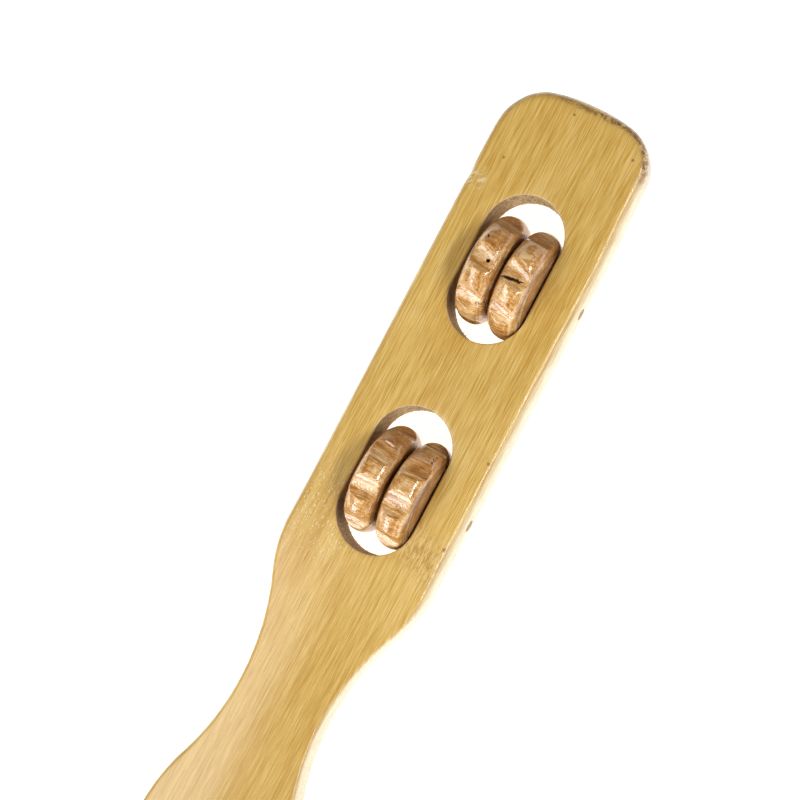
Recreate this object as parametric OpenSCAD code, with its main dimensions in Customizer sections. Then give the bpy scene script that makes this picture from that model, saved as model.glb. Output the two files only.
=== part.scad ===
// Hand-held massage roller: a flat bamboo handle with two windows in its head.
// In each window two carved wooden rollers turn on one steel pin, which is slid in
// through a hole drilled from one edge of the handle and shut in with a bamboo plug.
// +X points to the roller head, +Z out of the front face, and the origin is the
// middle of the whole, on the axis plane of the pins. Millimetres.

/* [Handle] */
// Length from the head's end to the grip's end
handle_l = 330; // [325:1:345]
// Width of the head, between its straight edges
head_w = 50; // [49:0.5:56]
// Thickness of the board
handle_t = 12.5; // [11:0.5:15]
// Radius of the rounding along the front and back edges
edge_r = 2.5; // [1.5:0.25:3.5]
// Width of the neck at its narrowest
neck_w = 29.4; // [26:0.2:33]
// Width of the grip at its widest
grip_w = 48; // [44:1:50]
// Distance of the neck's narrowest place from the head's end
neck_u = 199; // [197:1:203]
// Distance of the grip's widest place from the head's end
grip_u = 250; // [246:1:254]

/* [Outline radii] */
// Corners of the head's end
head_corner_r = 14; // [10:1:16]
// Slight crown of the head's end
head_crown_r = 80; // [60:5:120]
// Shoulders, where the head starts to narrow
shoulder_r = 45; // [30:1:48]
// Hollows on both sides of the neck
neck_r = 80; // [70:1:88]
// Round end of the grip
grip_end_r = 17; // [14:0.5:18]

/* [Windows] */
// Length of a window along the handle
window_l = 46.3; // [44:0.1:50]
// Width of a window
window_w = 25; // [24:0.1:27]
// Width of the bevel around a window, front and back
window_bevel = 0.7; // [0.4:0.1:1]
// Distance of the first window's middle from the head's end
window_u = 55.2; // [50:0.1:60]
// Distance between the two windows' middles
window_pitch = 70.5; // [66:0.5:72]

/* [Rollers] */
// Diameter over the lobes
roller_d = 34.8; // [32:0.1:36]
// Diameter of the flat sides
roller_side_d = 27; // [26.6:0.1:27.6]
// Width of one roller along its pin
roller_w = 10.8; // [10:0.1:11]
// Width of the bevel along the edges of the flat sides
roller_bevel = 0.35; // [0.2:0.05:0.5]
// Number of lobes around a roller
lobes = 8; // [6:1:9]
// Radius of the hollow cut between two lobes
hollow_r = 5.5; // [5:0.1:6.5]
// Depth of the hollow below the top of the lobes
hollow_depth = 2.2; // [1.6:0.1:2.6]
// Free space between the two rollers of a pair
roller_gap = 0.3; // [0.3:0.1:0.6]
// How far both pairs have slid along their pins, towards -Y
pair_shift = 0.5; // [0:0.1:0.5]
// Turn of the pair near the head's end, positive towards the grip
tip_pair_turn = -5; // [-45:1:0]
// Turn of the pair near the neck, positive towards the grip
neck_pair_turn = 14; // [0:1:45]

/* [Pins] */
// Diameter of a pin, its hole and its plug
pin_d = 4; // [3:0.5:5]
// Distance of a pin from its window's middle, towards the grip
pin_offset = 1.5; // [0:0.1:1.5]
// Running clearance around the pin in a roller, on the radius
pin_clearance = 0.08; // [0.05:0.01:0.1]
// Length of the plug that shuts the hole
plug_l = 4; // [3:0.5:6]
// Wood left between the hole's blind end and the far edge
blind_wall = 5; // [4:0.5:7]

/* [Hidden] */
$fn = 96;

// Colours
bamboo_colour = [0.80, 0.63, 0.33];
plug_colour = [0.66, 0.50, 0.30];
roller_colour = [0.68, 0.48, 0.30];
steel_colour = [0.62, 0.62, 0.64];

// Places along X
tip_x = handle_l / 2;
tip_window_x = tip_x - window_u;
neck_window_x = tip_window_x - window_pitch;
tip_pin_x = tip_window_x - pin_offset;
neck_pin_x = neck_window_x - pin_offset;
neck_x = tip_x - neck_u;
grip_x = tip_x - grip_u;
end_x = -tip_x + grip_end_r;

// Head's end: the crown arc and the corner arc touch at head_corner_a
head_corner_y = head_w / 2 - head_corner_r;
head_corner_a = asin(head_corner_y / (head_crown_r - head_corner_r));
head_crown_x = tip_x - head_crown_r;
head_corner_x = head_crown_x + (head_crown_r - head_corner_r) * cos(head_corner_a);

// Shoulder: it touches the neck's hollow, shoulder_a past straight
neck_y = neck_w / 2 + neck_r;
shoulder_y = head_w / 2 - shoulder_r;
shoulder_a = acos((neck_y - shoulder_y) / (neck_r + shoulder_r));
shoulder_x = neck_x + (neck_r + shoulder_r) * sin(shoulder_a);

// Grip: the swell touches the neck's hollow, and the tail touches the round end
swell_rise = (grip_w - neck_w) / 2;
swell_run = neck_x - grip_x;
swell_r = (pow(swell_run, 2) + pow(swell_rise, 2)) / (2 * swell_rise) - neck_r;
swell_a = asin(swell_run / (neck_r + swell_r));
tail_run = grip_x - end_x;
tail_r = (pow(tail_run, 2) + pow(grip_w / 2, 2) - pow(grip_end_r, 2)) / (grip_w - 2 * grip_end_r);
tail_a = asin(tail_run / (tail_r - grip_end_r));

// The outline's arcs on the +Y side, from the head's end to the grip's end:
// [centre x, centre y, radius, first angle, last angle, steps, +1 bulging or -1 hollow]
side_arcs = [
    [head_crown_x, 0, head_crown_r, 0, head_corner_a, 3, 1],
    [head_corner_x, head_corner_y, head_corner_r, head_corner_a, 90, 12, 1],
    [shoulder_x, shoulder_y, shoulder_r, 90, 90 + shoulder_a, 6, 1],
    [neck_x, neck_y, neck_r, 270 + shoulder_a, 270 - swell_a, 16, -1],
    [grip_x, grip_w / 2 - swell_r, swell_r, 90 - swell_a, 90, 6, 1],
    [grip_x, grip_w / 2 - tail_r, tail_r, 90, 90 + tail_a, 6, 1],
    [end_x, 0, grip_end_r, 90 + tail_a, 180, 12, 1]
];

// Edge rounding: its steps, and the height where the flat edge ends
edge_steps = 4;
flat_edge_z = handle_t / 2 - edge_r;

// Rollers: the rim is one arc from side to side, over the top of the lobes. A
// bevel cuts its ends, from bevel_r on the arc to the edge of the flat side.
rim_rise = (roller_d - roller_side_d) / 2;
rim_r = (pow(roller_w / 2, 2) + pow(rim_rise, 2)) / (2 * rim_rise);
rim_centre_r = roller_d / 2 - rim_r;
bevel_y = roller_w / 2 - roller_bevel;
bevel_r = rim_centre_r + sqrt(pow(rim_r, 2) - pow(bevel_y, 2));
hollow_centre_r = roller_d / 2 - hollow_depth + hollow_r;
roller_offset = (roller_w + roller_gap) / 2;

// Pins: the hole runs along Y from the -Y edge to its blind end
hole_start_y = -head_w / 2;
hole_end_y = head_w / 2 - blind_wall;
pin_start_y = hole_start_y + plug_l;
cut = 1;

// One arc's points, moved towards the inside of the outline by inset. A part of
// the list only: the last point is left to the arc that touches it.
function arc_points(arc, inset, last) = [
    for (i = [0 : arc[5] - 1 + last])
        let (a = arc[3] + (arc[4] - arc[3]) * i / arc[5], r = arc[2] - arc[6] * inset)
        [arc[0] + r * cos(a), arc[1] + r * sin(a)]
];

// The second arc ends at the straight edge, and the last one on the X axis, so
// those two keep their last point.
function side_points(inset) = [
    for (k = [0 : len(side_arcs) - 1])
        each arc_points(side_arcs[k], inset, k == 1 || k == len(side_arcs) - 1 ? 1 : 0)
];

// The whole outline, anticlockwise seen from +Z
function outline(inset) =
    let (side = side_points(inset), n = len(side))
    concat(side, [for (i = [n - 2 : -1 : 1]) [side[i][0], -side[i][1]]]);

// The board: rings of the outline, stacked from the back face to the front face
module rounded_board() {
    angles = [
        for (i = [0 : edge_steps]) -90 + 90 * i / edge_steps,
        for (i = [0 : edge_steps]) 90 * i / edge_steps
    ];
    rings = [
        for (k = [0 : len(angles) - 1])
            let (
                middle_z = k <= edge_steps ? -flat_edge_z : flat_edge_z,
                z = middle_z + edge_r * sin(angles[k])
            )
            [for (p = outline(edge_r * (1 - cos(angles[k])))) [p[0], p[1], z]]
    ];
    n = len(rings[0]);
    half = n / 2;
    top = (len(rings) - 1) * n;
    // A flat face's strips, each between two points and the same two on the other side
    strips = concat(
        [[0, 1, n - 1]],
        [for (i = [1 : half - 2]) [i, i + 1, n - i - 1, n - i]],
        [[half - 1, half, half + 1]]
    );
    polyhedron(
        points = [for (ring = rings) each ring],
        faces = concat(
            strips,
            [for (k = [0 : len(rings) - 2], i = [0 : n - 1])
                [k * n + i, (k + 1) * n + i, (k + 1) * n + (i + 1) % n, k * n + (i + 1) % n]],
            [for (strip = strips) [for (j = [len(strip) - 1 : -1 : 0]) top + strip[j]]]
        )
    );
}

// A slot with round ends, lying along X
module slot_shape(length, width) {
    run = length - width;
    square([run, width], center = true);
    for (side = [-1, 1])
        translate([side * run / 2, 0])
            circle(d = width);
}

// A window's bevel, widest at z = 0 and reaching up past the face
module window_bevel_cut() {
    run = window_l - window_w;
    wide_w = window_w + 2 * window_bevel;
    hull()
        for (side = [-1, 1])
            translate([side * run / 2, 0, -window_bevel])
                cylinder(h = window_bevel + 0.01, d1 = window_w, d2 = wide_w, $fn = 64);
}

module window_cut() {
    translate([0, 0, -handle_t])
        linear_extrude(2 * handle_t)
            slot_shape(window_l, window_w);
    for (face = [0, 1])
        mirror([0, 0, face])
            translate([0, 0, handle_t / 2])
                window_bevel_cut();
}

// A round bar along Y between two places
module bar_y(start_y, end_y, diameter) {
    translate([0, start_y, 0])
        rotate([-90, 0, 0])
            cylinder(h = end_y - start_y, d = diameter);
}

module handle() {
    color(bamboo_colour)
        difference() {
            rounded_board();
            for (x = [tip_window_x, neck_window_x])
                translate([x, 0, 0]) {
                    window_cut();
                    translate([-pin_offset, 0, 0])
                        bar_y(hole_start_y - cut, hole_end_y, pin_d);
                }
        }
}

module axle_pin() {
    color(steel_colour)
        bar_y(pin_start_y, hole_end_y, pin_d);
}

module axle_plug() {
    color(plug_colour)
        bar_y(hole_start_y, pin_start_y, pin_d);
}

// Half the section of a plain roller: x is the radius, y runs along the pin
module roller_section() {
    bore_r = pin_d / 2 + pin_clearance;
    flat_side_r = roller_side_d / 2 - roller_bevel;
    half_w = roller_w / 2;
    translate([bore_r, -half_w])
        square([rim_centre_r - bore_r, roller_w]);
    intersection() {
        translate([rim_centre_r, 0])
            circle(r = rim_r);
        polygon([
            [rim_centre_r - 1, -half_w],
            [flat_side_r, -half_w],
            [bevel_r, -bevel_y],
            [roller_d, -bevel_y],
            [roller_d, bevel_y],
            [bevel_r, bevel_y],
            [flat_side_r, half_w],
            [rim_centre_r - 1, half_w]
        ]);
    }
}

// A roller on the Y axis, with a hollow facing +Z when turn is 0
module roller(turn) {
    color(roller_colour)
        rotate([90, 0, 0])
            difference() {
                rotate_extrude()
                    roller_section();
                for (i = [0 : lobes - 1])
                    rotate([0, 0, 90 + turn + i * 360 / lobes])
                        translate([hollow_centre_r, 0, -roller_w])
                            cylinder(h = 2 * roller_w, r = hollow_r);
            }
}

// side is 1 for the roller towards +Y and -1 for the one towards -Y
module placed_roller(x, side, turn) {
    translate([x, side * roller_offset - pair_shift, 0])
        roller(turn);
}

handle();
translate([tip_pin_x, 0, 0]) axle_pin();  // tip_axle_pin
translate([neck_pin_x, 0, 0]) axle_pin();  // neck_axle_pin
translate([tip_pin_x, 0, 0]) axle_plug();  // tip_axle_plug
translate([neck_pin_x, 0, 0]) axle_plug();  // neck_axle_plug
placed_roller(tip_pin_x, 1, tip_pair_turn);  // tip_roller_left
placed_roller(tip_pin_x, -1, tip_pair_turn);  // tip_roller_right
placed_roller(neck_pin_x, 1, neck_pair_turn);  // neck_roller_left
placed_roller(neck_pin_x, -1, neck_pair_turn);  // neck_roller_right
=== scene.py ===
import math
import random

import bpy
import numpy as np
from mathutils import Matrix, Vector, noise
from mathutils.geometry import delaunay_2d_cdt


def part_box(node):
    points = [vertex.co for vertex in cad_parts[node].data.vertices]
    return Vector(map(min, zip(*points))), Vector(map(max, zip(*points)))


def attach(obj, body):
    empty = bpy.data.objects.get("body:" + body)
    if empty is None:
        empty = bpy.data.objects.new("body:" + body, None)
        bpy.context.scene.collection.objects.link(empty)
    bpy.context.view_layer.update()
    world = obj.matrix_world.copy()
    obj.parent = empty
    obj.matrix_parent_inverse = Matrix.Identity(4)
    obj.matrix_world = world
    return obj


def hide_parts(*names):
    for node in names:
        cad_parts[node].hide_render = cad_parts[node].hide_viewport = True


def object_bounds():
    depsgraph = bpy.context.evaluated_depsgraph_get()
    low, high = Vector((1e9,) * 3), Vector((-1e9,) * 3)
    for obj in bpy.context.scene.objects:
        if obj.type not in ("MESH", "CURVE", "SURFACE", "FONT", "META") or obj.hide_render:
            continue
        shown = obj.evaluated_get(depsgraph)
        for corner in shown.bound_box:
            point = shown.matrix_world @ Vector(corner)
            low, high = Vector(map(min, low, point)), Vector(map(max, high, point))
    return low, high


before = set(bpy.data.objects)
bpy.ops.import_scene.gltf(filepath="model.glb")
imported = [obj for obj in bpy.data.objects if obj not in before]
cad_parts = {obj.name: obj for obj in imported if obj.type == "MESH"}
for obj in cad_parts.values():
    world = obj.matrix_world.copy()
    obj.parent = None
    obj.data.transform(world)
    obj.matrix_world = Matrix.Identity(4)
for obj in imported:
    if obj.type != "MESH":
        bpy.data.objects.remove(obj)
CAD_BOX = [list(corner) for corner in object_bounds()]

MM = 0.001

# ---------------------------------------------------------------- sizes, in metres
HANDLE_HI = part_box("handle")[1]
TIP_X = HANDLE_HI.x
HEAD_HALF = HANDLE_HI.y
HALF_T = HANDLE_HI.z

# Outline, as the CAD handle has it: distances u run from the head's end
CORNER_R = 14 * MM
CROWN_R = 80 * MM
SHOULDER_R = 45 * MM
NECK_R = 80 * MM
NECK_HALF = 14.7 * MM
NECK_U = 199 * MM
GRIP_HALF = 24 * MM
GRIP_U = 250 * MM
END_R = 17 * MM

# Windows
WINDOW_L = 46.3 * MM
WINDOW_W = 24.7 * MM
WINDOW_Y = 0.45 * MM
WINDOW_RIM = 0.5 * MM
WINDOW_FLARE_FRONT = 0.2 * MM
WINDOW_FLARE_BACK = 0.02 * MM
WINDOW_STEPS = 320

# Rollers. The middles of each pair's hollows, in degrees from +X towards +Z: an
# eighth of a turn apart, as nearly as a hand-held cutter gets it.
HOLLOWS = {
    "tip": (34, 86, 130.5, 176, 220, 265, 309, 354),
    "neck": (15, 60.5, 102.5, 149, 194, 239, 284, 330),
}
ROLLER_TOP_R = 17.4 * MM
ROLLER_SIDE_R = 13.5 * MM
HOLLOW_R = 5.5 * MM
HOLLOW_DEPTH = 2.2 * MM
SHOULDER_DROP = 1.2 * MM
ROLLER_STEPS = 480
RIM_ROWS = 61
PIN_CLEARANCE = 0.08 * MM
PIN_OFFSET = 1.5 * MM

# Light, as radiance: the floor's own glow, and the even light from all round
FLOOR_GLOW = 0.85
WORLD_LIGHT = 0.17


def middle(node):
    low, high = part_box(node)
    return (low + high) / 2


PIN_X = {pair: middle(pair + "_axle_pin").x for pair in HOLLOWS}
WINDOW_X = {pair: x + PIN_OFFSET for pair, x in PIN_X.items()}
PIN_R = (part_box("tip_axle_pin")[1].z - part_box("tip_axle_pin")[0].z) / 2
PAIR_Y = (middle("tip_roller_left").y + middle("tip_roller_right").y) / 2
ROLLER_OFFSET = (middle("tip_roller_left").y - middle("tip_roller_right").y) / 2


# ---------------------------------------------------------------- mesh helpers
def mesh_object(name, points, faces, smooth=True):
    mesh = bpy.data.meshes.new(name)
    mesh.from_pydata([tuple(p) for p in points], [], [tuple(int(i) for i in f) for f in faces])
    mesh.validate()
    mesh.polygons.foreach_set("use_smooth", [smooth] * len(mesh.polygons))
    piece = bpy.data.objects.new(name, mesh)
    bpy.context.scene.collection.objects.link(piece)
    return piece


def ring_faces(first, second, count):
    """Quads between two closed rings of the same number of points."""
    return [(first + i, first + (i + 1) % count, second + (i + 1) % count, second + i) for i in range(count)]


def fade(value, low, high):
    """0 below low, 1 above high, and smooth between."""
    t = np.clip((value - low) / (high - low), 0, 1)
    return t * t * (3 - 2 * t)


def wander(x, y, z, size, seed=0.0):
    """Smooth noise from about -1 to 1, with features of that size."""
    return noise.noise(Vector((x / size + seed, y / size - seed, z / size + 2 * seed)))


# ---------------------------------------------------------------- handle
def arc(centre, radius, start, end, steps, bulge=1):
    """Points and outward normals along an arc, without its last point. Degrees."""
    out = []
    for i in range(steps):
        a = math.radians(start + (end - start) * i / steps)
        direction = np.array((math.cos(a), math.sin(a)))
        out.append((np.array(centre) + radius * direction, bulge * direction))
    return out


def side_outline():
    """The +Y half of the outline, from the head's end to the grip's end, about 1 mm apart."""
    corner_y = HEAD_HALF - CORNER_R
    corner_a = math.degrees(math.asin(corner_y / (CROWN_R - CORNER_R)))
    crown_x = TIP_X - CROWN_R
    corner_x = crown_x + (CROWN_R - CORNER_R) * math.cos(math.radians(corner_a))
    neck_x, grip_x, end_x = TIP_X - NECK_U, TIP_X - GRIP_U, -TIP_X + END_R
    neck_y = NECK_HALF + NECK_R
    shoulder_y = HEAD_HALF - SHOULDER_R
    shoulder_a = math.degrees(math.acos((neck_y - shoulder_y) / (NECK_R + SHOULDER_R)))
    shoulder_x = neck_x + (NECK_R + SHOULDER_R) * math.sin(math.radians(shoulder_a))
    rise, run = GRIP_HALF - NECK_HALF, neck_x - grip_x
    swell_r = (run ** 2 + rise ** 2) / (2 * rise) - NECK_R
    swell_a = math.degrees(math.asin(run / (NECK_R + swell_r)))
    tail_run = grip_x - end_x
    tail_r = (tail_run ** 2 + GRIP_HALF ** 2 - END_R ** 2) / (2 * GRIP_HALF - 2 * END_R)
    tail_a = math.degrees(math.asin(tail_run / (tail_r - END_R)))
    up = np.array((0.0, 1.0))
    straight_steps = 130
    points = arc((crown_x, 0), CROWN_R, 0, corner_a, 14)
    points += arc((corner_x, corner_y), CORNER_R, corner_a, 90, 30)
    for i in range(straight_steps):
        x = corner_x + (shoulder_x - corner_x) * i / straight_steps
        points.append((np.array((x, HEAD_HALF)), up))
    points += arc((shoulder_x, shoulder_y), SHOULDER_R, 90, 90 + shoulder_a, 20)
    points += arc((neck_x, neck_y), NECK_R, 270 + shoulder_a, 270 - swell_a, 60, bulge=-1)
    points += arc((grip_x, GRIP_HALF - swell_r), swell_r, 90 - swell_a, 90, 24)
    points += arc((grip_x, GRIP_HALF - tail_r), tail_r, 90, 90 + tail_a, 60)
    points += arc((end_x, 0), END_R, 90 + tail_a, 180, 26)
    points.append((np.array((-TIP_X, 0.0)), np.array((-1.0, 0.0))))
    return points


def full_outline():
    side = side_outline()
    flip = np.array((1.0, -1.0))
    side = side + [(p * flip, n * flip) for p, n in side[-2:0:-1]]
    return np.array([p for p, n in side]), np.array([n for p, n in side])


OUTLINE, OUTLINE_N = full_outline()
HALF_WIDTH_X = OUTLINE[: len(OUTLINE) // 2 + 1, 0][::-1]
HALF_WIDTH_Y = OUTLINE[: len(OUTLINE) // 2 + 1, 1][::-1]


def half_width(x):
    return np.interp(x, HALF_WIDTH_X, HALF_WIDTH_Y)


def bell(value, centre, spread):
    return np.exp(-(((value - centre) / spread) ** 2))


def sanded(points):
    """How far hand sanding and knocks have taken each outline point inside the plain outline."""
    x, y = points[:, 0], points[:, 1]
    u = TIP_X - x
    left = fade(y, 0.2 * HEAD_HALF, 0.8 * HEAD_HALF)
    right = fade(-y, 0.3 * HEAD_HALF, 0.9 * HEAD_HALF)
    corner = 1.0 * MM * bell(u, 7 * MM, 8 * MM) * left
    dent = 0.40 * MM * bell(u, 34 * MM, 2.6 * MM) * fade(-u, -38.5 * MM, -37 * MM) * left
    taper = 0.9 * MM * bell(u, 14 * MM, 18 * MM) * right
    uneven = np.array([wander(px, py, 0, 30 * MM, 3.1) for px, py in points])
    rough = np.array([wander(px, py, 0, 2.2 * MM, 8.3) for px, py in points])
    return 0.14 * MM + 0.07 * MM * uneven + 0.03 * MM * rough + corner + dent + taper


def edge_radius(points):
    """The rounding is fuller around the head than at the neck and grip."""
    head = fade(points[:, 0], -5 * MM, 30 * MM)
    return (1.7 + 1.4 * head) * MM


def stadium(length, width, count):
    """Points and outward normals of a slot with round ends lying along X, evenly spaced."""
    run, r = length - width, width / 2
    total = 2 * run + 2 * math.pi * r
    out = []
    for i in range(count):
        d = total * i / count
        if d < run:
            out.append(((run / 2 - d, r), (0, 1)))
            continue
        d -= run
        if d < math.pi * r:
            a = math.pi / 2 + d / r
            out.append(((-run / 2 + r * math.cos(a), r * math.sin(a)), (math.cos(a), math.sin(a))))
            continue
        d -= math.pi * r
        if d < run:
            out.append(((-run / 2 + d, -r), (0, -1)))
            continue
        a = -math.pi / 2 + (d - run) / r
        out.append(((run / 2 + r * math.cos(a), r * math.sin(a)), (math.cos(a), math.sin(a))))
    return np.array([p for p, n in out]), np.array([n for p, n in out])


def inside_window(x, y, grow):
    """True where a point lies in a window made wider by grow."""
    hit = False
    run = (WINDOW_L - WINDOW_W) / 2
    for centre in WINDOW_X.values():
        dx = max(abs(x - centre) - run, 0)
        hit = hit or dx ** 2 + (y - WINDOW_Y) ** 2 < (WINDOW_W / 2 + grow) ** 2
    return hit


def face_sink(x, y):
    """How far the face lies below its plane: flat on the head, and a low roof along the neck and grip."""
    roof = 0.058 * fade(-x, -22 * MM, 22 * MM)
    ridge = 3.0 * MM
    soft = 1.2 * MM
    over = np.abs(y - 1.0 * MM) - ridge
    return roof * (over + np.sqrt(over ** 2 + soft ** 2)) / 2


def window_rings(points, centre):
    """Adds one window's wall to points, front to back. Gives each ring's first index."""
    flat_xy, normal = stadium(WINDOW_L, WINDOW_W, WINDOW_STEPS)
    xy = flat_xy + np.array((centre, WINDOW_Y))
    rim_angles = np.radians([90, 60, 30, 0])
    rim = [(WINDOW_RIM * (1 - math.cos(a)), WINDOW_RIM * (1 - math.sin(a))) for a in rim_angles]
    rows = [(WINDOW_FLARE_FRONT + out, HALF_T - down) for out, down in rim]
    for share in np.linspace(0, 1, 18)[1:-1]:
        flare = WINDOW_FLARE_FRONT + (WINDOW_FLARE_BACK - WINDOW_FLARE_FRONT) * share
        rows.append((flare, (HALF_T - WINDOW_RIM) * (1 - 2 * share)))
    rows += [(WINDOW_FLARE_BACK + out, down - HALF_T) for out, down in rim[::-1]]
    first = []
    for grow, h in rows:
        first.append(len(points))
        in_wall = fade(HALF_T - abs(h), 0.1 * MM, 0.8 * MM)
        fuzz = np.array([wander(p[0], p[1], h * 0.4, 0.55 * MM) for p in xy]) * 0.11 * MM * in_wall
        out = xy + normal * (grow + fuzz + 0.02 * MM)[:, None]
        points += [(p[0], p[1], h) for p in out]
    return first


def fill_grid():
    """Points spread over a face, clear of its outline and of the windows."""
    grid = 1.6 * MM
    fill = []
    rows = int(2 * HEAD_HALF / (grid * 0.87))
    for row in range(rows):
        y = -HEAD_HALF + row * grid * 0.87
        for i in range(int(2 * TIP_X / grid)):
            x = -TIP_X + (i + row % 2 / 2) * grid
            clear = abs(y) < half_width(x) - 5.0 * MM and abs(x) < TIP_X - 6 * MM
            if clear and not inside_window(x, y, 1.8 * MM):
                fill.append((x, y))
    return fill


def fill_face(points, loops, fill, side):
    """Triangles of a flat face between closed loops of points, the first loop outside the others.

    A triangle with all its corners on one window's loop lies in that window, and is left out.
    """
    source = [i for loop in loops for i in loop]
    flat = [Vector(points[i][:2]) * 1000 for i in source] + [Vector(p) * 1000 for p in fill]
    edges, base = [], 0
    for loop in loops:
        edges += [(base + i, base + (i + 1) % len(loop)) for i in range(len(loop))]
        base += len(loop)
    inside_outline = 1
    verts, _, tris, origin, _, _ = delaunay_2d_cdt(flat, edges, [], inside_outline, 1e-6)
    ids = []
    for vert, orig in zip(verts, origin):
        if orig and min(orig) < len(source):
            ids.append(source[min(orig)])
        else:
            ids.append(len(points))
            points.append((vert.x / 1000, vert.y / 1000, side * HALF_T))
    made = []
    for tri in tris:
        a, b, c = (verts[i] for i in tri)
        upward = (b - a).cross(c - a) > 0
        corners = [ids[i] for i in tri]
        if any(all(corner in loop for corner in corners) for loop in loops[1:]):
            continue
        made.append(corners if upward == (side > 0) else corners[::-1])
    return made


def build_handle():
    points, faces = [], []
    count = len(OUTLINE)
    worn = sanded(OUTLINE)
    radius = edge_radius(OUTLINE)

    # The edge: rings from the back face round to the front face
    angles = np.radians([0, 14, 28, 42, 56, 70, 80, 90])
    starts = []
    for a, side in [(-a, -1) for a in angles[::-1]] + [(a, 1) for a in angles]:
        inset = worn + radius * (1 - math.cos(a))
        xy = OUTLINE - OUTLINE_N * inset[:, None]
        z = side * (HALF_T - radius) + radius * math.sin(a)
        starts.append(len(points))
        points += [(p[0], p[1], h) for p, h in zip(xy, z)]
    for k in range(len(starts) - 1):
        faces += ring_faces(starts[k], starts[k + 1], count)

    # The windows' walls
    cut_faces = []
    window_ends = []
    for centre in WINDOW_X.values():
        first = window_rings(points, centre)
        for k in range(len(first) - 1):
            made = ring_faces(first[k], first[k + 1], WINDOW_STEPS)
            if 2 < k < len(first) - 4:
                cut_faces += range(len(faces), len(faces) + len(made))
            faces += made
        window_ends.append((first[0], first[-1]))

    # The two faces
    fill = fill_grid()
    for side, outer in ((1, starts[-1]), (-1, starts[0])):
        holes = [front if side > 0 else back for front, back in window_ends]
        loops = [range(outer, outer + count)] + [range(hole, hole + WINDOW_STEPS) for hole in holes]
        faces += fill_face(points, loops, fill, side)

    points = np.array(points)
    wave = np.array([wander(p[0], p[1], p[2], 26 * MM, 1.7) for p in points]) * 0.05 * MM
    sink = face_sink(points[:, 0], points[:, 1]) + 0.07 * MM + wave
    points[:, 2] -= points[:, 2] / HALF_T * sink
    handle = mesh_object("bamboo_handle", points, faces)
    for i in cut_faces:
        handle.data.polygons[i].material_index = 1
    return handle


def sliver(start, direction, length, width):
    """A torn fibre: a three-sided spike with a closed foot."""
    along = Vector(direction).normalized()
    across = along.orthogonal().normalized()
    other = along.cross(across)
    foot = [Vector(start) + (across * math.cos(t) + other * math.sin(t)) * width / 2 for t in (0, 2.1, 4.2)]
    mid = [f + along * length * 0.55 + across * length * 0.06 for f in foot]
    tip = Vector(start) + along * length + across * length * 0.16
    points = foot + mid + [tip]
    faces = [(2, 1, 0)]
    faces += [(i, (i + 1) % 3, 3 + (i + 1) % 3, 3 + i) for i in range(3)]
    faces += [(3 + i, 3 + (i + 1) % 3, 6) for i in range(3)]
    return points, faces


def build_slivers():
    """Fibres left standing at the windows' back rims by the router, mostly at the windows' ends."""
    slivers_each = 34
    rng = random.Random(21)
    points, faces = [], []
    for centre in WINDOW_X.values():
        for _ in range(slivers_each):
            toward_tip = rng.random() < 0.55
            a = rng.gauss(0.15, 0.55) if toward_tip else math.pi - rng.gauss(0.5, 0.35)
            run = (WINDOW_L - WINDOW_W) / 2 * (1 if toward_tip else -1)
            wall = np.array((math.cos(a), math.sin(a)))
            x, y = np.array((centre + run, WINDOW_Y)) + wall * (WINDOW_W / 2 + 0.2 * MM)
            z = -HALF_T + rng.uniform(0.7, 1.6) * MM
            lean_x, lean_y, lean_z = rng.uniform(-0.5, 0.5), rng.uniform(-0.5, 0.5), rng.uniform(-0.5, 0.3)
            direction = (-wall[0] + lean_x, -wall[1] + lean_y, lean_z)
            length = rng.uniform(0.35, 0.9) * MM * (1.7 if rng.random() < 0.12 else 1)
            spike, sides = sliver((x, y, z), direction, length, rng.uniform(0.10, 0.20) * MM)
            base = len(points)
            points += spike
            faces += [tuple(base + i for i in f) for f in sides]
    return mesh_object("frayed_fibres", points, faces, smooth=False)


def build_plug(pair):
    """The plug, with a rough sawn end at the board's edge and a torn rim."""
    centre_x = middle(f"{pair}_axle_plug").x
    steps = 72
    outer_y = -HEAD_HALF + 0.01 * MM
    # Each ring's share of the plug's radius, and how far back it lies in millimetres
    profile = [
        (0.25, 0.02), (0.5, 0.03), (0.75, 0.05), (0.88, 0.08),
        (0.96, 0.14), (0.99, 0.3), (0.99, 1.5), (0.97, 3.8),
    ]
    inner_end = profile[-1][1]
    points = [(centre_x, outer_y + 0.02 * MM, 0)]
    for share, back in profile:
        for i in range(steps):
            a = 2 * math.pi * i / steps
            x, z = math.cos(a) * share, math.sin(a) * share
            rough = 1 + 0.02 * wander(x, z, share, 0.25, 4.0) * min(1, back * 8)
            dip = abs(wander(x, z, 0, 0.22, 9.0 + centre_x)) * 0.05 * MM if back < 0.2 else 0
            points.append((centre_x + x * PIN_R * rough, outer_y + back * MM + dip, z * PIN_R * rough))
    points.append((centre_x, outer_y + inner_end * MM, 0))
    last = len(points) - 1
    faces = [(0, 1 + i, 1 + (i + 1) % steps) for i in range(steps)]
    for k in range(len(profile) - 1):
        faces += [f[::-1] for f in ring_faces(1 + k * steps, 1 + (k + 1) * steps, steps)]
    end = 1 + (len(profile) - 1) * steps
    faces += [(last, end + (i + 1) % steps, end + i) for i in range(steps)]
    return mesh_object(f"{pair}_plug_sawn", points, faces)


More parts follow.
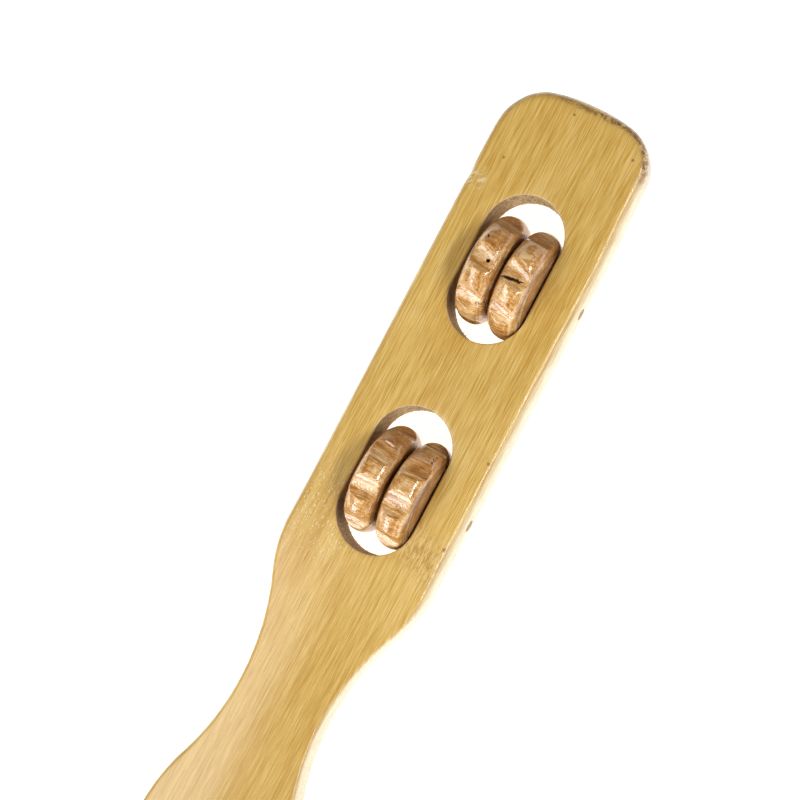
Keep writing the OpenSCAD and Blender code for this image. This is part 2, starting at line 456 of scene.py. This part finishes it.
# ---------------------------------------------------------------- rollers
# Flaws in the wood of the rollers, by angle from +X towards +Z in degrees, and by
# place along the pin from the roller's middle: holes with their radius and depth,
# cracks from end to end with their width and depth, and torn patches with their radius.
HOLES = {
    "tip_left": [(86.7, -1.3, 0.66, 1.6), (62.5, 2.3, 0.42, 0.9), (64.5, 1.9, 0.36, 0.8)],
    "tip_right": [(143.9, -2.64, 0.22, 0.4)],
    "neck_left": [(33.8, -0.5, 0.25, 0.4), (35.6, 0.0, 0.22, 0.4)],
    "neck_right": [(45.3, -2.6, 0.30, 0.5), (39.9, -2.4, 0.26, 0.5), (34.7, -2.7, 0.26, 0.4)],
}
CRACKS = {
    "tip_right": [(94.6, 4.1, 91.8, -2.0, 0.5, 1.1)],
    "neck_left": [(196.0, 3.0, 199.0, -1.0, 0.2, 0.5)],
}
TORN = {
    "tip_left": [(139.0, -4.3, 2.6)],
    "neck_left": [(146.0, -4.9, 1.5)],
}
# How far the hollows lie askew, in degrees for each millimetre along the pin, and
# how much deeper they get towards +Y
SKEW = {"tip": 0.8, "neck": 0.1}
LEAN = {"tip": 0.07, "neck": 0.0}
SEEDS = {"tip_left": 11, "tip_right": 12, "neck_left": 13, "neck_right": 14}


def turned_rings(r):
    """The lathe's faint rings on a roller's sides."""
    return 0.035 * MM * (1 + math.sin(r / (0.42 * MM)))


def smooth_least(first, second, soft):
    """The smaller of two arrays, with the crease between them rounded off."""
    h = np.clip(0.5 + 0.5 * (first - second) / soft, 0, 1)
    return first * (1 - h) + second * h - soft * h * (1 - h)


def flaws(name, angle, y):
    """How deep the flaws cut into the rim at every angle, at one place along the pin."""
    cut = np.zeros(len(angle))
    degrees = np.degrees(angle)

    def arc_length(at):
        return ((degrees - at + 180) % 360 - 180) * math.pi / 180 * ROLLER_TOP_R

    for at, place, radius, depth in HOLES.get(name, []):
        far = np.hypot(arc_length(at), y - place * MM)
        cut = np.maximum(cut, depth * MM * (1 - fade(far, 0.55 * radius * MM, 1.05 * radius * MM)))
    for at, place, at_end, place_end, width, depth in CRACKS.get(name, []):
        share = (y - place * MM) / ((place_end - place) * MM)
        if -0.05 < share < 1.05:
            bend = wander(y, 0, 0, 0.9 * MM, 6.0) * 0.5 * MM
            line = arc_length(at + (at_end - at) * share) + bend
            wide = width * MM * (0.35 + math.sin(math.pi * min(max(share, 0), 1)) ** 0.5)
            cut = np.maximum(cut, depth * MM * (1 - fade(np.abs(line), 0.3 * wide, wide)))
    for at, place, radius in TORN.get(name, []):
        far = np.hypot(arc_length(at), y - place * MM)
        shred = np.array([abs(wander(a * ROLLER_TOP_R, y, 0, 0.5 * MM, 2.0)) for a in angle])
        cut = cut + 1.1 * MM * shred ** 1.5 * (1 - fade(far, 0.4 * radius * MM, radius * MM))
    return cut


def carved_rim(name, half_w, angle):
    """Rows of radius at every angle across the rim: a barrel with the hollows cut in by hand."""
    rise = ROLLER_TOP_R - ROLLER_SIDE_R
    rim_r = (half_w ** 2 + rise ** 2) / (2 * rise)
    rng = np.random.default_rng(SEEDS[name])
    pair = name.split("_")[0]
    lobes = len(HOLLOWS[pair])
    turns = np.array(HOLLOWS[pair]) + rng.uniform(-1, 1, lobes)
    cutter = HOLLOW_R * rng.uniform(0.88, 1.12, lobes)
    depth = HOLLOW_DEPTH + rng.uniform(-0.35, 0.1, lobes) * MM
    skew = SKEW[pair] + rng.uniform(-0.4, 0.4, lobes)
    lean = LEAN[pair] + rng.uniform(-0.04, 0.04, lobes)
    places = np.linspace(-1, 1, RIM_ROWS) * (half_w - 0.12 * MM)
    rows, flawed = [], []
    for y in places:
        barrel = ROLLER_TOP_R - rim_r + math.sqrt(max(rim_r ** 2 - y ** 2, 0))
        r = np.full(len(angle), barrel)
        for i in range(lobes):
            axis_r = ROLLER_TOP_R - depth[i] + cutter[i] - lean[i] * y
            off = (np.degrees(angle) - turns[i] + skew[i] * y / MM + 180) % 360 - 180
            inside = cutter[i] ** 2 - (axis_r * np.sin(np.radians(off))) ** 2
            cut = axis_r * np.cos(np.radians(off)) - np.sqrt(np.maximum(inside, 0))
            hollow = np.where((inside > 0) & (np.abs(off) < 40), cut, 1.0)
            r = smooth_least(r, hollow, 0.14 * MM)
        shoulder = SHOULDER_DROP * (abs(y) / half_w) ** 9
        knife_seed = 5.0 + SEEDS[name]
        knife = np.array([wander(0, y * 0.2, a * ROLLER_TOP_R, 0.8 * MM, knife_seed) for a in angle])
        around = [(ROLLER_TOP_R * math.cos(a), ROLLER_TOP_R * math.sin(a)) for a in angle]
        lumps = np.array([wander(x, y, z, 3.2 * MM, 5.0) for x, z in around])
        r = r - shoulder - 0.07 * MM + 0.05 * MM * lumps + 0.034 * MM * knife
        depth_here = flaws(name, angle, y)
        rows.append((r - depth_here, np.full(len(angle), y)))
        flawed.append(fade(depth_here, 0.06 * MM, 0.35 * MM))
    return rows, np.array(flawed)


def build_roller(name):
    node = name.replace("_", "_roller_")
    low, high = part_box(node)
    centre_x = PIN_X[name.split("_")[0]]
    centre_y, half_w = (low.y + high.y) / 2, (high.y - low.y) / 2
    steps = ROLLER_STEPS
    angle = np.linspace(0, 2 * math.pi, steps, endpoint=False)
    bore_r = PIN_R + PIN_CLEARANCE
    outer_r = ROLLER_SIDE_R - SHOULDER_DROP - 0.2 * MM
    side_radii = np.concatenate([[bore_r], np.linspace(bore_r + 0.4 * MM, outer_r, 36)])
    side = [(r, half_w - 0.10 * MM - turned_rings(r)) for r in side_radii]
    rim, flawed = carved_rim(name, half_w, angle)
    rows = [(np.full(steps, r), np.full(steps, -y)) for r, y in side]
    rows += rim
    rows += [(np.full(steps, r), np.full(steps, y)) for r, y in side[::-1]]
    points, faces = [], []
    for r, y in rows:
        points += list(zip(centre_x + r * np.cos(angle), centre_y + y, r * np.sin(angle)))
    for k in range(len(rows)):
        faces += [f[::-1] for f in ring_faces(k * steps, ((k + 1) % len(rows)) * steps, steps)]
    roller = mesh_object(node + "_carved", points, faces)
    bare = np.ones((len(rows), steps), np.int32)
    bare[len(side) - 1 : len(side) + len(rim)] = 0
    roller.data.polygons.foreach_set("material_index", bare.ravel())
    # Painted shade: how deep the flaws cut, for darkening their bottoms
    flaw_depth_shade = np.zeros((len(rows), steps), np.float32)
    flaw_depth_shade[len(side) : len(side) + len(rim)] = flawed
    roller.data.attributes.new("flaw_depth_shade", "FLOAT", "POINT").data.foreach_set("value", flaw_depth_shade.ravel())
    return roller


# ---------------------------------------------------------------- materials
class Paint:
    """A material's node tree, with short calls for the nodes used here. Lengths are in millimetres."""

    def __init__(self, name, roughness=0.5, metallic=0.0, coat=0.0, coat_roughness=0.1):
        self.material = bpy.data.materials.new(name)
        self.material.use_nodes = True
        self.nodes = self.material.node_tree.nodes
        self.shader = self.nodes["Principled BSDF"]
        self.put("Roughness", roughness)
        self.put("Metallic", metallic)
        self.put("Coat Weight", coat)
        self.put("Coat Roughness", coat_roughness)
        place = self.nodes.new("ShaderNodeTexCoord")
        self.at = self.vector("MULTIPLY", place.outputs["Object"], (1000, 1000, 1000))
        self.x, self.y, self.z = self.split(self.at)
        facing_x, _, facing_z = self.split(place.outputs["Normal"])
        self.normal_x, self.normal_z = self.math("ABSOLUTE", facing_x), self.math("ABSOLUTE", facing_z)

    def feed(self, socket, value):
        if isinstance(value, bpy.types.NodeSocket):
            self.material.node_tree.links.new(value, socket)
        elif isinstance(value, tuple) and len(value) == 3 and socket.type == "RGBA":
            socket.default_value = (*value, 1)
        else:
            socket.default_value = value

    def put(self, name, value):
        self.feed(self.shader.inputs[name], value)

    def split(self, vector):
        node = self.nodes.new("ShaderNodeSeparateXYZ")
        self.feed(node.inputs[0], vector)
        return tuple(node.outputs)

    def math(self, operation, first, second=0.0, third=0.0):
        node = self.nodes.new("ShaderNodeMath")
        node.operation = operation
        for socket, value in zip(node.inputs, (first, second, third)):
            self.feed(socket, value)
        return node.outputs[0]

    def length_of(self, first, second):
        squares = self.math("ADD", self.math("POWER", first, 2.0), self.math("POWER", second, 2.0))
        return self.math("SQRT", squares)

    def combine(self, *parts):
        node = self.nodes.new("ShaderNodeCombineXYZ")
        for socket, part in zip(node.inputs, parts):
            self.feed(socket, part)
        return node.outputs[0]

    def vector(self, operation, first, second):
        node = self.nodes.new("ShaderNodeVectorMath")
        node.operation = operation
        self.feed(node.inputs[0], first)
        self.feed(node.inputs[1], second)
        return node.outputs["Value" if operation in ("DISTANCE", "LENGTH") else "Vector"]

    def noise(self, size, detail=2.0, roughness=0.5, distortion=0.0):
        """Noise about 0.5, with features of the size (x, y, z)."""
        node = self.nodes.new("ShaderNodeTexNoise")
        self.feed(node.inputs["Vector"], self.vector("DIVIDE", self.at, size))
        self.feed(node.inputs["Scale"], 1.0)
        self.feed(node.inputs["Detail"], detail)
        self.feed(node.inputs["Roughness"], roughness)
        self.feed(node.inputs["Distortion"], distortion)
        return node.outputs[0]

    def noise_at(self, place, detail=2.0, roughness=0.5):
        """Noise about 0.5 at a place of its own scale."""
        node = self.nodes.new("ShaderNodeTexNoise")
        self.feed(node.inputs["Vector"], place)
        self.feed(node.inputs["Scale"], 1.0)
        self.feed(node.inputs["Detail"], detail)
        self.feed(node.inputs["Roughness"], roughness)
        return node.outputs[0]

    def cells(self, size):
        """Distance from the middles of scattered cells of the size (x, y, z)."""
        node = self.nodes.new("ShaderNodeTexVoronoi")
        self.feed(node.inputs["Vector"], self.vector("DIVIDE", self.at, size))
        self.feed(node.inputs["Scale"], 1.0)
        return node.outputs["Distance"]

    def rise(self, value, low, high, top=1.0):
        """0 at low and top at high, smooth between. low may be above high."""
        node = self.nodes.new("ShaderNodeMapRange")
        node.interpolation_type = "SMOOTHSTEP"
        flipped = low > high
        for name, number in (("Value", value), ("From Min", min(low, high)), ("From Max", max(low, high)),
                             ("To Min", top if flipped else 0.0), ("To Max", 0.0 if flipped else top)):
            self.feed(node.inputs[name], number)
        return node.outputs["Result"]

    def times(self, *values):
        product = values[0]
        for value in values[1:]:
            product = self.math("MULTIPLY", product, value)
        return product

    def blend(self, *weighted):
        """The sum of (value, weight) pairs."""
        total = 0.0
        for value, weight in weighted:
            total = self.math("MULTIPLY_ADD", value, weight, total)
        return total

    def ramp(self, value, *stops):
        node = self.nodes.new("ShaderNodeValToRGB")
        self.feed(node.inputs[0], value)
        elements = node.color_ramp.elements
        while len(elements) < len(stops):
            elements.new(0.5)
        for element, (position, colour) in zip(elements, stops):
            element.position = position
            element.color = (*colour, 1)
        return node.outputs["Color"]

    def mix(self, share, first, second):
        node = self.nodes.new("ShaderNodeMix")
        node.data_type = "RGBA"
        self.feed(node.inputs["Factor"], share)
        self.feed(node.inputs[6], first)
        self.feed(node.inputs[7], second)
        return node.outputs[2]

    def spot(self, x, y, size):
        """1 on a round speck of the front face."""
        front = HALF_T / MM
        return self.rise(self.vector("DISTANCE", self.at, (x, y, front)), size * 1.2, size * 0.6)

    def relief(self, height, depth, coat=True):
        """Bumps of the height (0 to 1) times the depth."""
        node = self.nodes.new("ShaderNodeBump")
        self.feed(node.inputs["Strength"], 1.0)
        self.feed(node.inputs["Distance"], depth * MM)
        self.feed(node.inputs["Height"], height)
        self.put("Normal", node.outputs[0])
        if coat:
            self.put("Coat Normal", node.outputs[0])


BAMBOO_DARK, BAMBOO_MID, BAMBOO_LIGHT = (0.51, 0.265, 0.030), (0.645, 0.39, 0.076), (0.79, 0.555, 0.18)
BAMBOO_PALE = (0.76, 0.64, 0.43)
# Dark specks on the front face: x, y and radius, in millimetres
FACE_SPECKS = (
    (139.3, 16.8, 0.45), (154.8, -18.4, 0.55), (159.6, 3.6, 0.5), (28.5, -23.0, 0.8), (56.8, -22.6, 0.6),
)


def bamboo():
    p = Paint("bamboo", coat=0.6, coat_roughness=0.15)
    # Fibres along X, from the finest lines to broad streaks
    fine = p.noise((10, 0.22, 1.0), detail=2, roughness=0.7)
    streak = p.noise((40, 0.8, 3), detail=2)
    cloud = p.noise((60, 6, 9), detail=2)
    tone = p.blend((fine, 0.60), (streak, 0.24), (cloud, 0.16))
    colour = p.ramp(tone, (0.395, BAMBOO_DARK), (0.49, BAMBOO_MID), (0.60, BAMBOO_LIGHT))
    dashes = p.rise(p.noise((7, 0.25, 1.5), detail=1), 0.60, 0.74, top=0.5)
    colour = p.mix(dashes, colour, (0.46, 0.235, 0.035))
    # Painted shade: the face darkens towards the grip's end, where the light falls off
    grip_end_falloff_shade = p.rise(p.x, 20, -110, top=0.42)
    colour = p.mix(grip_end_falloff_shade, colour, (0.44, 0.265, 0.055))

    # The bamboo's node crosses aslant below the second window, strongest towards -Y
    off_node = p.math("ABSOLUTE", p.math("SUBTRACT", p.math("MULTIPLY_ADD", p.y, -0.3, p.x), 29.5))
    band = p.times(p.rise(off_node, 10, 2.5), p.rise(p.y, 24, -16))
    mottle = p.noise((2.6, 0.5, 2), detail=2, distortion=0.9)
    colour = p.mix(p.times(band, p.rise(mottle, 0.50, 0.60), 0.75), colour, (0.43, 0.235, 0.045))
    colour = p.mix(p.times(band, p.rise(mottle, 0.46, 0.36), 0.65), colour, (0.72, 0.52, 0.22))

    # Where the scorched stain runs round the head's end: broken up, and strongest towards -Y
    over_x = p.math("MAXIMUM", p.math("SUBTRACT", p.x, (TIP_X - CORNER_R) / MM), 0.0)
    over_y = p.math("MAXIMUM", p.math("SUBTRACT", p.math("ABSOLUTE", p.y), (HEAD_HALF - CORNER_R) / MM), 0.0)
    reach = p.length_of(over_x, over_y)
    reach = p.math("ADD", reach, p.times(p.rise(p.y, 2, -20), p.rise(p.x, 159, 146), -0.2))
    at_tip = p.rise(p.x, 146, 155)
    ring = p.times(p.rise(reach, 10.3, 11.5), p.rise(reach, 13.2, 12.2), at_tip)
    blotch = p.rise(p.noise((1.7, 1.7, 1.7), detail=3, roughness=0.7), 0.38, 0.56)
    toward_right = p.rise(p.y, 16, -12)
    stain = p.times(ring, blotch, p.math("MULTIPLY_ADD", toward_right, 0.6, 0.4))
    colour = p.mix(p.times(p.rise(reach, 8.5, 12.0), at_tip, 0.30), colour, (0.42, 0.25, 0.08))

    # The edges, sides and window rims are paler than the faces: partly the drier bare wood, partly a painted
    # reflection of the bright surroundings on these grazing surfaces. The stain lies over them
    side = p.rise(p.normal_z, 0.90, 0.55)
    side_wood_and_sheen = p.mix(p.rise(fine, 0.40, 0.62), (0.62, 0.47, 0.25), BAMBOO_PALE)
    colour = p.mix(p.math("MULTIPLY", side, 0.86), colour, side_wood_and_sheen)
    colour = p.mix(p.times(side, p.rise(p.x, 148, 158), 0.4), colour, (0.50, 0.34, 0.18))
    colour = p.mix(p.math("MULTIPLY", stain, 0.95), colour, (0.20, 0.080, 0.018))
    corner_marks = p.times(side, at_tip, p.rise(p.noise((1.2, 1.2, 1.2), detail=2), 0.52, 0.62), 0.7)
    colour = p.mix(corner_marks, colour, (0.33, 0.17, 0.06))

    # Scratches at the dent, white flecks by the neck (partly scuffs, partly painted glints where the sheen
    # begins), and a few dark specks
    dent = p.rise(p.vector("DISTANCE", p.at, (130.5, 21.8, 6.0)), 5.2, 2.0)
    slant = p.math("MULTIPLY_ADD", p.y, 0.75, p.x)
    scratch = p.noise_at(p.combine(p.math("DIVIDE", slant, 0.55), p.math("DIVIDE", p.y, 3.0)), detail=1)
    torn = p.times(dent, p.rise(scratch, 0.53, 0.62))
    colour = p.mix(p.math("MULTIPLY", torn, 0.8), colour, (0.80, 0.68, 0.42))
    # White flecks by the neck: scuffs, with painted glints of the sheen among them
    scuffs_and_glints = p.times(p.rise(p.vector("DISTANCE", p.at, (22, 15, 6)), 22, 6), p.rise(p.normal_z, 0.7, 0.95))
    flecks = p.rise(p.noise((0.9, 0.42, 0.6), detail=2, roughness=0.7), 0.60, 0.68)
    colour = p.mix(p.times(scuffs_and_glints, flecks, 0.9), colour, (0.92, 0.86, 0.68))
    pores = p.times(p.rise(p.cells((1.9, 1.5, 2)), 0.17, 0.08), p.rise(p.x, 5, -20), 0.55)
    colour = p.mix(pores, colour, (0.42, 0.25, 0.07))
    for x, y, size in FACE_SPECKS:
        colour = p.mix(p.math("MULTIPLY", p.spot(x, y, size), 0.75), colour, (0.25, 0.11, 0.03))

    p.put("Base Color", colour)
    p.put("Roughness", p.math("MULTIPLY_ADD", fine, 0.2, 0.34))
    # Orange peel in the lacquer, strongest where the roof of the neck begins
    peel = p.noise((0.75, 0.5, 0.6), detail=2, roughness=0.6)
    begins = p.math("ADD", p.times(p.rise(p.x, 34, 14), p.rise(p.x, -50, -10)), 0.25)
    lines = p.math("MULTIPLY", fine, 0.45)
    height = p.math("MULTIPLY_ADD", p.math("SUBTRACT", peel, 0.5), p.math("MULTIPLY", begins, 0.9), lines)
    height = p.math("SUBTRACT", height, p.math("MULTIPLY", pores, 0.5))
    height = p.math("MULTIPLY_ADD", torn, 1.2, height)
    p.relief(height, 0.035)
    return p.material


def from_pin(p):
    """Distance from the nearer pin along X, in millimetres."""
    at_tip = p.math("GREATER_THAN", p.x, (PIN_X["tip"] + PIN_X["neck"]) / 2 / MM)
    pitch = (PIN_X["tip"] - PIN_X["neck"]) / MM
    return p.math("SUBTRACT", p.x, p.math("MULTIPLY_ADD", at_tip, pitch, PIN_X["neck"] / MM))


def bamboo_cut():
    """The windows' routed walls, bare wood: end grain at the ends and torn fibres along the sides, with
    painted shade towards each window's grip end.
    """
    p = Paint("bamboo_cut", roughness=0.85)
    dots = p.cells((0.62, 0.62, 0.62))
    grime = p.noise((1.3, 1.3, 1.3), detail=4, roughness=0.7)
    end = p.ramp(
        p.blend((dots, 0.55), (grime, 0.6)),
        (0.36, (0.20, 0.115, 0.045)), (0.54, (0.50, 0.34, 0.16)), (0.70, (0.80, 0.64, 0.38)),
    )
    strands = p.noise((5, 0.4, 0.28), detail=3, roughness=0.7)
    along = p.ramp(
        p.blend((strands, 0.6), (grime, 0.4)),
        (0.38, (0.20, 0.11, 0.045)), (0.52, (0.42, 0.27, 0.12)), (0.66, (0.68, 0.50, 0.27)),
    )
    colour = p.mix(p.rise(p.normal_x, 0.45, 0.8), along, end)
    # Painted shade: the walls darken towards each window's grip end, away from the light
    colour = p.mix(p.rise(from_pin(p), -9, -19, top=0.5), colour, (0.13, 0.065, 0.025))
    p.put("Base Color", colour)
    p.relief(p.blend((dots, 0.5), (strands, 0.7)), 0.16, coat=False)
    return p.material


WOOD_DARK, WOOD_MID, WOOD_LIGHT = (0.37, 0.125, 0.015), (0.60, 0.28, 0.052), (0.90, 0.62, 0.31)


def shoulder_lines(p, radius, from_middle):
    """A place that runs slowly along a roller's shoulder and fast down it."""
    down = p.math("DIVIDE", p.math("ADD", radius, from_middle), 0.5)
    return p.combine(down, p.math("DIVIDE", p.x, 9.0), p.math("DIVIDE", p.z, 9.0))


def roller_wood():
    p = Paint("roller_wood", coat=1.0, coat_roughness=0.06)
    p.put("Specular IOR Level", 0.25)
    p.put("Coat IOR", 1.75)
    # Turned from a branch: growth rings round the pin show as contours in the hollows
    off_x = from_pin(p)
    radius = p.length_of(off_x, p.z)
    swirl = p.noise((7, 9, 7), detail=1)
    ring_count = p.math("MULTIPLY_ADD", swirl, 2.5, p.math("DIVIDE", radius, 0.42))
    ring_at = p.combine(ring_count, p.math("DIVIDE", p.y, 14.0), p.math("DIVIDE", off_x, 11.0))
    rings = p.noise_at(ring_at, detail=2, roughness=0.6)
    # Fine fibres along the pin, and broader patches of colour
    fine = p.noise((0.26, 3.2, 0.26), detail=3, roughness=0.7)
    stripe = p.noise((1.1, 14, 1.1), detail=2, roughness=0.6, distortion=0.3)
    cloud = p.noise((5, 6, 5), detail=3, roughness=0.6)
    tone = p.blend((fine, 0.34), (stripe, 0.18), (rings, 0.26), (cloud, 0.22))
    colour = p.ramp(tone, (0.42, WOOD_DARK), (0.485, WOOD_MID), (0.56, WOOD_LIGHT))
    streaks = p.rise(p.noise((0.45, 5, 0.45), detail=2), 0.60, 0.72, top=0.55)
    colour = p.mix(streaks, colour, (0.30, 0.115, 0.03))
    pores = p.times(p.rise(p.cells((0.8, 1.6, 0.8)), 0.20, 0.06), 0.5)
    colour = p.mix(pores, colour, (0.24, 0.09, 0.03))
    grey = p.rise(p.noise((3.4, 5, 3.4), detail=3), 0.60, 0.72, top=0.18)
    colour = p.mix(grey, colour, (0.30, 0.22, 0.14))
    # Darker round the shoulders than on the carved rim, with thin lines round them
    from_pair = p.math("ABSOLUTE", p.math("ADD", p.y, -PAIR_Y / MM))
    from_middle = p.math("ABSOLUTE", p.math("SUBTRACT", from_pair, ROLLER_OFFSET / MM))
    lines = p.noise_at(shoulder_lines(p, radius, from_middle), detail=2)
    lined = p.times(p.rise(from_middle, 3.9, 5.2), p.rise(lines, 0.38, 0.58))
    colour = p.mix(lined, colour, (0.14, 0.045, 0.010))
    colour = p.mix(p.rise(radius, 15.2, 12.6, top=0.45), colour, (0.24, 0.09, 0.02))
    # Painted shade: darker on the sides that face the head's end at rest, away from the light; it turns with
    # the roller
    colour = p.mix(p.rise(off_x, 5.0, 12.5, top=0.6), colour, (0.27, 0.085, 0.012))

    # The flaws are open wood, painted near black with their depth: painted shade at the bottom of the holes
    # and cracks
    flaw_depth_shade = p.nodes.new("ShaderNodeAttribute")
    flaw_depth_shade.attribute_name = "flaw_depth_shade"
    colour = p.mix(flaw_depth_shade.outputs["Fac"], colour, (0.018, 0.008, 0.004))

    p.put("Base Color", colour)
    p.put("Roughness", p.math("MULTIPLY_ADD", fine, 0.25, 0.26))
    peel = p.noise((0.75, 0.75, 0.75), detail=1, roughness=0.5)
    p.relief(p.blend((peel, 0.9), (fine, 0.2), (rings, 0.15)), 0.09)
    return p.material


def roller_side():
    """The rollers' flat sides, left without lacquer."""
    p = Paint("roller_side", roughness=0.55)
    dots = p.cells((0.4, 3, 0.4))
    cloud = p.noise((4, 4, 4), detail=3)
    p.put("Base Color", p.ramp(
        p.blend((dots, 0.4), (cloud, 0.6)),
        (0.30, (0.24, 0.10, 0.03)), (0.5, (0.42, 0.20, 0.065)), (0.7, (0.60, 0.34, 0.13)),
    ))
    p.relief(p.blend((dots, 0.5), (cloud, 0.5)), 0.06, coat=False)
    return p.material


def pin_steel():
    p = Paint("pin_steel", metallic=1.0)
    drawn = p.noise((0.12, 9, 0.12), detail=2)
    p.put("Base Color", p.ramp(drawn, (0.35, (0.34, 0.33, 0.32)), (0.65, (0.60, 0.60, 0.59))))
    p.put("Roughness", p.math("MULTIPLY_ADD", drawn, 0.3, 0.2))
    p.relief(drawn, 0.01, coat=False)
    return p.material


def plug_wood(pair):
    """Sawn end of a bamboo dowel, darker in a ring round its edge."""
    p = Paint(f"{pair}_plug_wood", roughness=0.65)
    dots = p.cells((0.45, 0.45, 0.45))
    smudge = p.noise((0.9, 0.9, 0.9), detail=3, roughness=0.7)
    colour = p.ramp(
        p.blend((dots, 0.6), (smudge, 0.5)),
        (0.35, (0.13, 0.055, 0.02)), (0.55, (0.36, 0.20, 0.08)), (0.75, (0.58, 0.38, 0.18)),
    )
    from_axis = p.length_of(p.math("SUBTRACT", p.x, PIN_X[pair] / MM), p.z)
    rim = p.rise(p.math("MULTIPLY_ADD", smudge, 0.4, from_axis), PIN_R / MM * 0.93, PIN_R / MM * 1.05)
    p.put("Base Color", p.mix(rim, colour, (0.07, 0.03, 0.012)))
    p.relief(p.blend((dots, 0.6), (smudge, 0.4)), 0.1, coat=False)
    return p.material


def bright_floor():
    """A plain pale floor, lit from behind as a light table is."""
    p = Paint("floor", roughness=0.9)
    p.put("Base Color", (0.85, 0.85, 0.85))
    p.put("Emission Color", (1, 1, 1))
    p.put("Emission Strength", FLOOR_GLOW)
    return p.material


# ---------------------------------------------------------------- the pieces
def place_piece(piece, body, slot, *materials, replaces=None):
    for material in materials:
        piece.data.materials.append(material)
    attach(piece, body)
    if replaces:
        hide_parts(replaces)


bamboo_faces, bamboo_bare = bamboo(), bamboo_cut()
place_piece(build_handle(), "handle", "bamboo", bamboo_faces, bamboo_bare, replaces="handle")
place_piece(build_slivers(), "handle", "bamboo", bamboo_bare)

wood, bare_wood = roller_wood(), roller_side()
steel = pin_steel()
for pair in HOLLOWS:
    for side in ("left", "right"):
        node = f"{pair}_roller_{side}"
        place_piece(build_roller(f"{pair}_{side}"), node, "roller_wood", wood, bare_wood, replaces=node)
    place_piece(build_plug(pair), "handle", "plug_wood", plug_wood(pair), replaces=f"{pair}_axle_plug")
    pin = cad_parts[f"{pair}_axle_pin"]
    pin.data.materials.clear()
    pin.data.materials.append(steel)

# ---------------------------------------------------------------- floor, light and camera
FLOOR_Z = CAD_BOX[0][2]
FLOOR_HALF = 3
floor_corners = [(x * FLOOR_HALF, y * FLOOR_HALF, FLOOR_Z) for x, y in ((-1, -1), (1, -1), (1, 1), (-1, 1))]
floor = mesh_object("floor", floor_corners, [(0, 1, 2, 3)])
floor.data.materials.append(bright_floor())

world = bpy.data.worlds.new("studio")
world.use_nodes = True
world.node_tree.nodes["Background"].inputs["Color"].default_value = (1, 1, 1, 1)
world.node_tree.nodes["Background"].inputs["Strength"].default_value = WORLD_LIGHT
bpy.context.scene.world = world


def softbox(name, centre, size_x, size_y, radiance, aim=None):
    """A rectangular light of even radiance, facing down, or facing a point."""
    light = bpy.data.lights.new(name, "AREA")
    light.shape = "RECTANGLE"
    light.size, light.size_y = size_x, size_y
    light.energy = radiance * math.pi * size_x * size_y
    lamp = bpy.data.objects.new(name, light)
    lamp.location = centre
    if aim is not None:
        lamp.rotation_euler = (Vector(centre) - Vector(aim)).to_track_quat("Z", "Y").to_euler()
    bpy.context.scene.collection.objects.link(lamp)


# The first mirrors in the left half of the neck and grip. The second is long, and
# mirrors along the rollers' shoulders. The others light the walls of the hollows
# that face the grip.
softbox("key_softbox", (-0.435, 0.625, 0.90), 0.63, 0.65, 5.0)
softbox("front_softbox", (0.22, -0.72, 0.70), 0.95, 0.09, 25.0, aim=(0.22, 0, 0))
softbox("grip_softbox", (-0.69, 0.20, 0.64), 0.48, 0.48, 4.0, aim=(0.05, 0, 0))
softbox("low_softbox", (-0.95, 0.30, 0.18), 0.40, 0.30, 8.0, aim=(0.05, 0, 0))

CAMERA_AT = (71.5 * MM, -138.8 * MM, 534.4 * MM)
VIEW_AZIMUTH, VIEW_ELEVATION, VIEW_ROLL = -86.04, 74.21, -66.05
FOCAL_LENGTH = 83.25


def photo_camera():
    data = bpy.data.cameras.new("camera")
    data.lens = FOCAL_LENGTH
    data.sensor_width = 36
    data.clip_start = 0.05
    camera = bpy.data.objects.new("camera", data)
    bpy.context.scene.collection.objects.link(camera)
    camera.location = CAMERA_AT
    azimuth, elevation, roll = (math.radians(a) for a in (VIEW_AZIMUTH, VIEW_ELEVATION, VIEW_ROLL))
    flat = math.cos(elevation)
    back = Vector((flat * math.cos(azimuth), flat * math.sin(azimuth), math.sin(elevation)))
    level = Vector((0, 0, 1)).cross(back).normalized()
    right = level * math.cos(roll) + back.cross(level) * math.sin(roll)
    up = back.cross(right)
    camera.rotation_euler = Matrix((right, up, back)).transposed().to_euler()
    return camera


bpy.context.scene.camera = photo_camera()
bpy.context.scene.view_settings.view_transform = "Standard"
